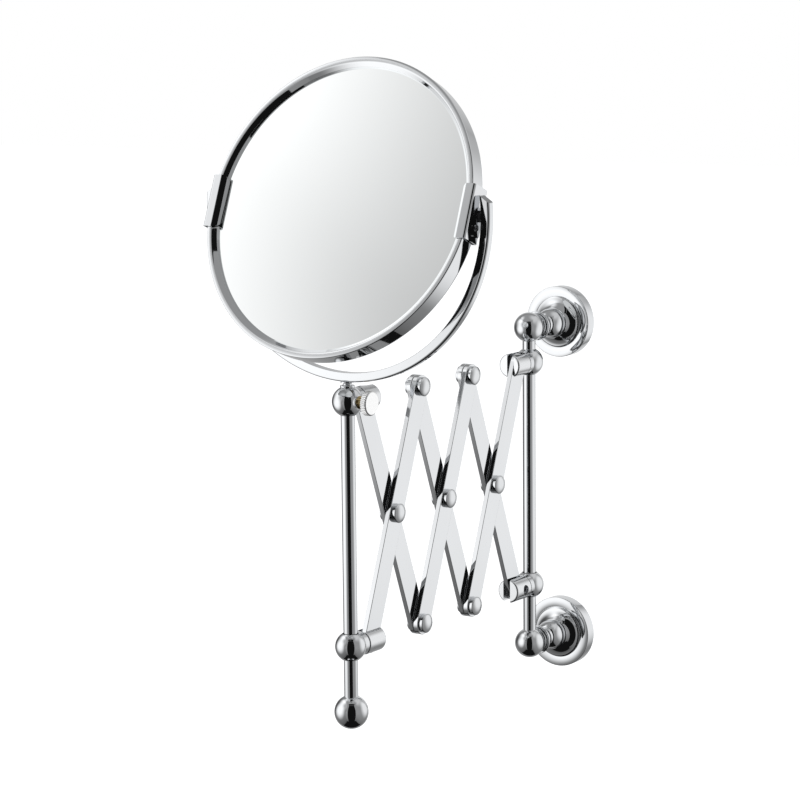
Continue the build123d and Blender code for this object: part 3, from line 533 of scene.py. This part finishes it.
nylon_links.new(nylon_bump.outputs["Normal"], nylon_shader.inputs["Normal"])
dress(["rail_bushes"], black_nylon)


# ---------------------------------------------------------------- rail
# The rail is drawn 10 mm steel bar, polished and chromed. Its ends are turned down to journals
# that turn in the nylon bushes of the two posts' balls.
rail_low, rail_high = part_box("wall_rail")
rail_centre = Vector(((rail_low.x + rail_high.x) / 2, (rail_low.y + rail_high.y) / 2, 0))
rail_foot, rail_top = rail_low.z / mm, rail_high.z / mm
bar_radius, bar_edge, journal_radius, journal_length = 5.0, 0.3, 3.5, 8.9
low_shoulder, high_shoulder = rail_foot + journal_length, rail_top - journal_length
rail_outline = softened([
    (0, rail_foot), (journal_radius, rail_foot, bar_edge), (journal_radius, low_shoulder),
    (bar_radius, low_shoulder, bar_edge), (bar_radius, high_shoulder, bar_edge),
    (journal_radius, high_shoulder), (journal_radius, rail_top, bar_edge), (0, rail_top),
], 3)
upward = (0, 0, 1)
rail_bar = turned(rail_outline, rail_centre, upward)
piece("chromed_rail", [rail_bar], polished_chrome, "rail", ["wall_rail"])


# ---------------------------------------------------------------- clevis balls
# Four balls are cast in one with a short neck and a slotted clevis. The balls are polished,
# the clevises keep a finer satin. A socket screw pins each link in its slot.
satin_chrome = metal(
    "satin_chrome", (0.72, 0.73, 0.742), 0.15,
    haze=0.3, haze_size=160.0, relief=1.2e-6, relief_size=1800.0,
)
clevis_ball_radius, clevis_neck_radius, clevis_radius = 11.06, 8.8, 9.1
neck_height = math.sqrt(clevis_ball_radius**2 - clevis_neck_radius**2)
groove_start, groove_end, groove_radius = 11.2, 12.0, 8.0
ball_to_pin, clamp_hole_radius, set_screw_radius = 20.0, 4.56, 2.0
slot_half_width, slot_offset, slot_floor, past_all = 3.0, 1.2, 11.3, 15.0


def carved(made, cutters):
    """The piece less its closed shells, cut by exact booleans and kept as its mesh."""
    tools = []
    for index, shell in enumerate(cutters):
        tool = piece(f"{made.name}_cut{index}", [shell], made.data.materials[0], made["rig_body"])
        cut = made.modifiers.new(tool.name, "BOOLEAN")
        cut.operation = "DIFFERENCE"
        cut.solver = "EXACT"
        cut.object = tool
        tools.append(tool)
    bpy.context.view_layer.update()
    seen = made.evaluated_get(bpy.context.evaluated_depsgraph_get())
    result = bpy.data.meshes.new_from_object(seen)
    made.modifiers.clear()
    made.data = result
    for tool in tools:
        bpy.data.objects.remove(tool)
    result.shade_smooth()
    result.set_sharp_from_angle(angle=math.radians(30))
    return made


def block(low, high):
    """A closed box as a grid: its four corners at both heights, and each end's middle as a pole."""
    (x0, y0, z0), (x1, y1, z1) = low, high
    ring = np.array([(x0, y0), (x1, y0), (x1, y1), (x0, y1)], float)
    middle = np.repeat(ring.mean(0)[None], 4, 0)
    rows = [(middle, z0), (ring, z0), (ring, z1), (middle, z1)]
    return np.array([np.column_stack([flat, np.full(4, height)]) for flat, height in rows])


sideways = (1, 0, 0)
clevises = (
    # name, joint at its pin, direction from ball to pin, reach, bore, body, side of the pin's head
    ("upper_wall_clevis", "extend", -1, 29.0, 5.0, "rail", -1),
    ("lower_wall_clevis", "rail_slider_pivot", -1, 32.0, 5.8, "rail_slider", 1),
    ("upper_rod_clevis", "carrier_pivot", 1, 29.0, 5.06, "rod_carrier", 1),
    ("lower_rod_clevis", "rod_slider_pivot", 1, 32.0, 5.8, "rod_slider", -1),
)
for clevis, pin_joint, toward, reach, bore, clevis_body, head_side in clevises:
    pin_place = Vector(joints[pin_joint]["pos_m"])
    ball_place = pin_place - Vector((0, toward * ball_to_pin * mm, 0))
    clevis_outline = np.concatenate([
        bent(
            (0, -clevis_ball_radius), (clevis_ball_radius, 0),
            (clevis_neck_radius, neck_height), 56,
        ),
        softened([
            (clevis_neck_radius, neck_height), (clevis_neck_radius, groove_start, 0.25),
            (groove_radius, groove_start), (groove_radius, groove_end),
            (clevis_radius, groove_end, 0.5), (clevis_radius, reach, 1.3), (0, reach),
        ], 6)[1:],
    ])
    slot_centre = -head_side * slot_offset * mm
    slot_start = ball_place.y + toward * slot_floor * mm
    slot_end = ball_place.y + toward * 40 * mm
    slot = block(
        (
            slot_centre - slot_half_width * mm, min(slot_start, slot_end),
            ball_place.z - past_all * mm,
        ),
        (
            slot_centre + slot_half_width * mm, max(slot_start, slot_end),
            ball_place.z + past_all * mm,
        ),
    )
    bar_hole = turned(
        [(0, -past_all), (bore, -past_all), (bore, past_all), (0, past_all)],
        ball_place, upward, 96,
    )
    head_hole = turned(
        [(0, 3.5), (3.7, 3.5), (3.7, 12), (0, 12)], pin_place, (head_side, 0, 0), 64
    )
    cuts = [slot, bar_hole, head_hole]
    if clevis == "upper_rod_clevis":
        cuts.append(turned(
            [(0, 0), (clamp_hole_radius, 0), (clamp_hole_radius, 14), (0, 14)],
            ball_place, sideways, 64,
        ))
    if clevis == "upper_wall_clevis":
        cuts.append(turned(
            [(0, 4), (set_screw_radius, 4), (set_screw_radius, 14), (0, 14)],
            ball_place, (0, 1, 0), 48,
        ))
    casting = piece(
        f"{clevis}_casting", [turned(clevis_outline, ball_place, (0, toward, 0))],
        polished_chrome, clevis_body, [clevis],
    )
    casting = carved(casting, cuts)
    casting.data.materials.append(satin_chrome)
    middles = np.empty(len(casting.data.polygons) * 3, np.float32)
    casting.data.polygons.foreach_get("center", middles)
    along = (middles.reshape(-1, 3)[:, 1] - ball_place.y) * toward
    satin_start = 11.5 * mm
    casting.data.polygons.foreach_set("material_index", (along > satin_start).astype(np.int32))
dress([
    "clevis_set_screw", "upper_wall_pin", "lower_wall_pin", "upper_rod_pin", "lower_rod_pin",
], plated_steel)
dress([
    "upper_wall_spacer", "lower_wall_spacer", "upper_rod_spacer", "lower_rod_spacer",
    "lower_wall_bush", "lower_rod_bush",
], black_nylon)


# ---------------------------------------------------------------- links
# Six links are cut from 17 by 3.8 mm steel strip with round ends, polished flat along their
# length and chromed. Three near links cross three far links.
strip_chrome = metal(
    "strip_chrome", (0.71, 0.722, 0.736), 0.05, haze=0.3, haze_size=40.0, stretch=(1, 1, 0.25)
)
link_inside, link_outside = 0.2, 4.0


def strip(low_pivot, high_pivot, near_face, far_face, width=17.0, edge=0.4):
    """A flat bar with round ends. A point is one of the two pivots plus a spoke of the bar's half
    width less an inset, and lies between the two faces; the insets round both edges."""
    low_pivot, high_pivot = np.array(low_pivot, float), np.array(high_pivot, float)
    along = (high_pivot - low_pivot) / np.linalg.norm(high_pivot - low_pivot)
    across = np.cross(sideways, along)
    steps = 33
    half_turn = np.linspace(-math.pi / 2, math.pi / 2, steps)
    turn = np.concatenate([half_turn, half_turn + math.pi])
    end = np.concatenate([np.ones(steps), np.zeros(steps)])[:, None]
    middle = end * high_pivot + (1 - end) * low_pivot
    spokes = np.cos(turn)[:, None] * along + np.sin(turn)[:, None] * across
    half = width / 2
    rows = softened([
        (0, near_face), (half, near_face, edge), (half, far_face, edge), (0, far_face),
    ], 5)
    grid = middle[None] + rows[:, 0, None, None] * mm * spokes[None]
    grid[..., 0] = rows[:, 1, None] * mm
    return grid


def at_joint(name):
    """Where a joint lies."""
    return Vector(joints[name]["pos_m"])


upper_level = at_joint("extend").z
lower_level = at_joint("rail_slider_pivot").z
pivot_rows = [at_joint(name).y for name in ("extend", "top_2", "top_1", "carrier_pivot")]
middle_rows = [at_joint(name) for name in ("cross_3", "cross_2", "cross_1")]
for cell, wall_side, room_side in ((3, 0, 1), (2, 1, 2), (1, 2, 3)):
    wall_y, room_y = pivot_rows[wall_side], pivot_rows[room_side]
    near_strip = strip(
        (0, room_y, lower_level), (0, wall_y, upper_level), link_outside, link_inside
    )
    far_strip = strip(
        (0, wall_y, lower_level), (0, room_y, upper_level), -link_inside, -link_outside
    )
    for layer, bar in (("near", near_strip), ("far", far_strip)):
        piece(
            f"{layer}_strip_{cell}", [bar], strip_chrome, f"{layer}_{cell}",
            [f"{layer}_link_{cell}"],
        )


# ---------------------------------------------------------------- rivets
# Seven turned rivets join the links. Each has a button head with a low dome on the near side
# and a smaller closed cap at the back, both chromed, and a thin washer between the links.
head_outline = np.concatenate([
    softened([(0, 0), (7.0, 0, 0.2), (7.0, 2.8, 0.6), (6.4, 3.4)], 5)[:-1],
    bent((6.4, 3.4), (3.3, 4.74), (0, 5.2), 16),
])
cap_outline = np.concatenate([
    softened([(0, 0), (6.5, 0, 0.2), (6.5, 2.4, 0.35), (6.15, 2.75)], 4)[:-1],
    bent((6.15, 2.75), (3.1, 3.54), (0, 3.8), 14),
])
shank_outline = [(0, -5.4), (2.5, -5.4), (2.5, 4.0), (0, 4.0)]
cap_gap = 0.1
head_seat = Vector((link_outside * mm, 0, 0))
cap_seat = Vector(((link_outside + cap_gap) * mm, 0, 0))
rivet_places = {
    3: [middle_rows[0], Vector((0, pivot_rows[1], lower_level))],
    2: [at_joint("top_2"), middle_rows[1], Vector((0, pivot_rows[2], lower_level))],
    1: [at_joint("top_1"), middle_rows[2]],
}
for cell, places in rivet_places.items():
    heads = []
    for place in places:
        heads.append(turned(head_outline, place + head_seat, sideways, 72))
        heads.append(turned(shank_outline, place, sideways, 24))
    piece(f"rivet_heads_{cell}", heads, polished_chrome, f"near_{cell}", [f"rivets_{cell}"])
    caps = [turned(cap_outline, place - cap_seat, (-1, 0, 0), 64) for place in places]
    piece(f"rivet_ends_{cell}", caps, polished_chrome, f"near_{cell}", [f"rivet_caps_{cell}"])
dress(["rivet_washers_1", "rivet_washers_2", "rivet_washers_3"], black_nylon)


# ---------------------------------------------------------------- thumb screw
# A brass screw with a bare turned thread runs in the rod's upper ball and carries a knob with
# a finely fluted rim and a satin face. A nylon pad at its tip clamps the rod.
bare_brass = metal(
    "bare_brass", (0.52, 0.40, 0.20), 0.22, haze=0.4, haze_size=600.0, relief=3e-6
)
satin_nickel = metal(
    "satin_nickel", (0.93, 0.93, 0.93), 0.30,
    haze=0.15, haze_size=500.0, relief=2e-6, relief_size=3000.0,
)
screw_place = Vector((0, at_joint("thumb_turn").y, at_joint("thumb_turn").z))


def thread(radius, height, turn):
    """The screw's thread: a saw between the core and the full radius that climbs one pitch a
    turn. The points on the axis stay where they are."""
    pitch, depth = 1.0, 0.42
    phase = (height / pitch - turn / (2 * math.pi)) % 1.0
    ridge = np.abs(2 * phase - 1)
    return np.where(radius > 0.1, radius - depth * (1 - ridge), radius)


screw_radius, screw_start, screw_end, thread_rows = 4.48, 6.65, 18.6, 90
screw_outline = np.concatenate([
    [(0, screw_start)],
    np.column_stack([
        np.full(thread_rows, screw_radius), np.linspace(screw_start, screw_end, thread_rows),
    ]),
    [(0, screw_end)],
])
screw_bar = turned(screw_outline, screw_place, sideways, 72, thread)
piece("brass_screw", [screw_bar], bare_brass, "thumb_screw", ["clamp_screw"])


def flutes(radius, height, turn):
    """Round-bottomed flutes: the rim's radius drops by the depth times the third power of a
    cosine's size, which has one peak for each flute. The drop fades out towards the face."""
    flute_count, depth, face_edge, fade = 36, 0.42, 7.9, 0.6
    rim = np.clip((radius - face_edge) / fade, 0, 1)
    return radius - depth * rim * np.abs(np.cos(flute_count / 2 * turn)) ** 3


knob_outline = softened([
    (0, 16.2), (7.4, 16.2), (8.7, 16.4, 0.15), (8.7, 20.1, 0.3), (7.8, 20.85, 0.5), (0, 21.0),
], 4)
knob = turned(knob_outline, screw_place, sideways, 360, flutes)
piece("fluted_knob", [knob], satin_nickel, "thumb_screw", ["clamp_knob"], sharp=50)
dress(["clamp_pad"], black_nylon)


# ---------------------------------------------------------------- mirror rod, finial and stem
# The rod is the same 10 mm bar as the rail. A ball screws on its foot, and a small turned stem
# with one collar screws into its top and carries the yoke.
rod_low, rod_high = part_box("mirror_rod")
rod_centre = Vector(((rod_low.x + rod_high.x) / 2, (rod_low.y + rod_high.y) / 2, 0))
rod_foot, rod_top = rod_low.z / mm, rod_high.z / mm
thread_radius, thread_length = 3.0, 9.0
rod_shoulder = rod_foot + thread_length
rod_outline = softened([
    (0, rod_foot), (thread_radius, rod_foot), (thread_radius, rod_shoulder),
    (bar_radius, rod_shoulder), (bar_radius, rod_top, bar_edge), (0, rod_top),
], 4)
rod_bar = turned(rod_outline, rod_centre, upward)
piece("chromed_rod", [rod_bar], polished_chrome, "mirror_stand", ["mirror_rod"])
finial_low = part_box("finial")[0]
finial_radius = 12.2
finial_centre = Vector((rod_centre.x, rod_centre.y, finial_low.z + finial_radius * mm))
finial_outline = bent((0, -finial_radius), (finial_radius, 0), (0, finial_radius), 80)
finial = turned(finial_outline, finial_centre, upward)
piece("finial_ball", [finial], polished_chrome, "mirror_stand", ["finial"])
stem_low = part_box("yoke_stem")[0]
stem_start = stem_low.z / mm + 9.1
collar_radius, collar_top, neck_radius, flange_radius, tenon_radius = 5.2, 1.4, 3.0, 4.8, 2.2
flange_top, tenon_top = stem_start + 4.3, stem_start + 7.2
stem_outline = np.concatenate([
    softened([
        (0, stem_start - thread_length), (thread_radius, stem_start - thread_length),
        (thread_radius, stem_start), (collar_radius, stem_start, 0.4),
        (collar_radius, stem_start + collar_top, 0.3), (4.9, stem_start + collar_top + 0.05),
    ], 4)[:-1],
    bent(
        (4.9, stem_start + collar_top), (neck_radius, stem_start + 2.4),
        (flange_radius, stem_start + 3.4), 12,
    ),
    [(flange_radius, flange_top), (tenon_radius, flange_top)],
    [(tenon_radius, tenon_top), (0, tenon_top)],
])
stem = turned(stem_outline, rod_centre, upward, 96)
piece("turned_stem", [stem], polished_chrome, "mirror_stand", ["yoke_stem"])


# ---------------------------------------------------------------- yoke
# The yoke is a half ring of drawn bar, bent, polished and chromed, with soft outer edges, flat
# sides and slanted ends. Two steel pins in its ends carry the mirror.
mirror_centre = at_joint("tilt")
yoke_inner, yoke_outer, yoke_half = 112.3, 119.0, 3.25
yoke_section = softened([
    (yoke_inner, -yoke_half, 0.25), (yoke_outer, -yoke_half, 1.6), (yoke_outer, yoke_half, 1.6),
    (yoke_inner, yoke_half, 0.25),
], 7)
slope = 5.0 / 7.7
inner_rise = 13.5
height_at_axis = inner_rise + yoke_inner * slope


def half_ring(section, steps=200):
    """A section carried round the mirror's centre. A point at radius r starts where its circle
    meets the slanted end, at the arc sine of the end line's height over r times the line's
    length, less the line's own angle. It goes round below to the same angle at the other end."""
    radius, front = section.T
    tilt_of_end = math.atan(slope)
    start = np.arcsin(height_at_axis / (radius * math.hypot(1, slope))) - tilt_of_end
    part = np.linspace(0, 1, steps + 1)[:, None]
    angle = start - part * (math.pi + 2 * start)
    x, z = radius * np.cos(angle), radius * np.sin(angle)
    grid = np.stack([x, -front + 0 * x, z], -1)
    first = np.repeat(grid[:1].mean(1, keepdims=True), len(radius), 1)
    last = np.repeat(grid[-1:].mean(1, keepdims=True), len(radius), 1)
    return np.concatenate([first, grid, last]) * mm + np.array(mirror_centre)


piece("half_ring_yoke", [half_ring(yoke_section)], polished_chrome, "mirror_stand", ["yoke"])
dress(["pivot_pins"], plated_steel)


# ---------------------------------------------------------------- mirror head
# A rolled rim holds the plain glass in front and a drawn case holds the magnifying glass
# behind, both chromed. A fine dark joint shows between rim and case.
mirror_tilt = math.radians(21.5)
head_axis = Vector((0, -math.cos(mirror_tilt), math.sin(mirror_tilt)))
head_steps = 288
rim_outline = np.concatenate([
    softened([(101.2, 6.9), (101.85, 8.8, 0.4), (104.75, 11.62, 2.5), (105.9, 11.74)], 8)[:-1],
    bent((105.8, 11.73), (106.75, 11.77), (107.7, 11.66), 8),
    softened([(107.7, 11.66), (108.5, 11.55, 0.75), (108.5, 9.2)], 8)[1:],
    [(106.9, 9.2), (106.9, 6.9), (101.2, 6.9)],
])
rim = turned(rim_outline, mirror_centre, head_axis, head_steps)
piece("rolled_rim", [rim], polished_chrome, "mirror_head", ["front_rim"])
case_outline = softened([
    (107.1, 8.95), (108.3, 8.95), (108.3, -2.8, 1.8), (102.0, -2.8), (101.2, -1.6), (107.1, -1.6),
    (107.1, 8.95),
], 7)
case = turned(case_outline, mirror_centre, head_axis, head_steps)
piece("drawn_case", [case], polished_chrome, "mirror_head", ["mirror_case"])


def silvered(name, tone):
    """Silvered glass: a clear bright mirror with a trace of green and the faintest wiped haze."""
    glass = bpy.data.materials.new(name)
    glass.use_nodes = True
    nodes, links = glass.node_tree.nodes, glass.node_tree.links
    shader = nodes["Principled BSDF"]
    shader.inputs["Metallic"].default_value = 1.0
    shader.inputs["Base Color"].default_value = (*tone, 1)
    place = nodes.new("ShaderNodeTexCoord")
    haze = nodes.new("ShaderNodeTexNoise")
    haze.inputs["Scale"].default_value = 14.0
    haze.inputs["Detail"].default_value = 5.0
    film = nodes.new("ShaderNodeMapRange")
    film.inputs["To Min"].default_value = 0.0
    film.inputs["To Max"].default_value = 0.03
    links.new(place.outputs["Object"], haze.inputs["Vector"])
    links.new(haze.outputs["Fac"], film.inputs["Value"])
    links.new(film.outputs["Result"], shader.inputs["Roughness"])
    return glass


silvered_glass = silvered("silvered_glass", (0.93, 0.945, 0.945))
glass_radius, glass_front, glass_back, glass_edge = 106.9, 6.9, 4.9, 0.3
glass_outline = softened([
    (0, glass_front), (glass_radius, glass_front, glass_edge),
    (glass_radius, glass_back, glass_edge), (0, glass_back),
], 3)
plain_glass = turned(glass_outline, mirror_centre, head_axis, head_steps)
piece("plain_mirror", [plain_glass], silvered_glass, "mirror_head", ["plain_glass"])
magnifier_outline = np.concatenate([
    bent((0, 2.6), (53.5, 1.55), (glass_radius, -1.6), 60),
    bent((glass_radius, 0.4), (53.5, 3.55), (0, 4.6), 60),
])
magnifier = turned(magnifier_outline, mirror_centre, head_axis, head_steps)
piece("magnifying_mirror", [magnifier], silvered_glass, "mirror_head", ["magnifying_glass"])
dress(["glass_spacer"], plated_steel)
dress(["pivot_washers"], black_nylon)

# ---------------------------------------------------------------- side clips
# A clip at each pivot is bent from 1.2 mm steel sheet and chromed. Its front foot slopes down
# on the glass, and its back foot holds the case. A small bracket and a screw join it to the yoke.
clip_half_length, clip_tip, clip_corner = 19.0, 98.2, 4.5
clip_outer = softened([
    (99.6, -4.1), (109.8, -4.1, 1.8), (109.8, 13.5, 1.8), (102.6, 13.5, 0.8), (99.3, 10.5, 0.4),
    (clip_tip, 7.1),
], 5)
clip_inner = softened([
    (99.6, -2.9), (108.6, -2.9, 0.6), (108.6, 12.3, 0.6), (103.1, 12.3, 0.2), (100.3, 9.8, 0.2),
    (99.5, 7.1),
], 5)
head_up = Vector((0, math.sin(mirror_tilt), math.cos(mirror_tilt)))


def on_the_head(side, rows, lengths):
    """Rows of (reach, front) points on the head's side: the centre plus the reach sideways, the
    front along the head's axis and each row's or point's own length upwards."""
    rows, lengths = np.asarray(rows, float), np.asarray(lengths, float)
    grid = side * rows[..., :1] * np.array(sideways) + rows[..., 1:] * np.array(head_axis)
    return (grid + lengths[..., None] * np.array(head_up)) * mm + np.array(mirror_centre)


def sheet_clip(side):
    """The clip's section carried along its length. A row is the sheet's outer face followed by
    its inner face, and the end rows lie halfway between the two, which closes the sheet."""
    section = np.concatenate([clip_outer, clip_inner[::-1]])
    middle = (clip_outer + clip_inner) / 2
    closing = np.concatenate([middle, middle[::-1]])
    ends = np.array([-1, -1, 1, 1])[:, None] * clip_half_length
    return on_the_head(side, [closing, section, section, closing], ends + np.zeros(len(section)))


def corner_waste(side, end):
    """What a rounded corner leaves out, as a prism along the head's axis: a point past the corner
    and the quarter circle of centre minus cosine along the reach, plus sine along the length."""
    past, back, front = 1.0, -6.0, 15.0
    turn = np.linspace(0, math.pi / 2, 15)
    arc_start, arc_end = clip_half_length - clip_corner, clip_tip + clip_corner
    reach = np.array([
        clip_tip - past, clip_tip - past, *(arc_end - clip_corner * np.cos(turn)), arc_end,
    ])
    length = np.array([
        clip_half_length + past, arc_start, *(arc_start + clip_corner * np.sin(turn)),
        clip_half_length + past,
    ])
    pole, pole_length = np.full(len(reach), reach[0]), np.full(len(reach), length[0])
    rows = [
        np.column_stack([across, np.full(len(reach), level)])
        for across, level in ((pole, back), (reach, back), (reach, front), (pole, front))
    ]
    return on_the_head(side, rows, end * np.array([pole_length, length, length, pole_length]))


for clip_name, side in (("left", -1), ("right", 1)):
    clip = piece(
        f"{clip_name}_side_clip", [sheet_clip(side)], polished_chrome, "mirror_head",
        [f"{clip_name}_clip"],
    )
    carved(clip, [corner_waste(side, -1), corner_waste(side, 1)])
dress(["pivot_brackets"], polished_chrome)
dress(["bracket_screws"], plated_steel)
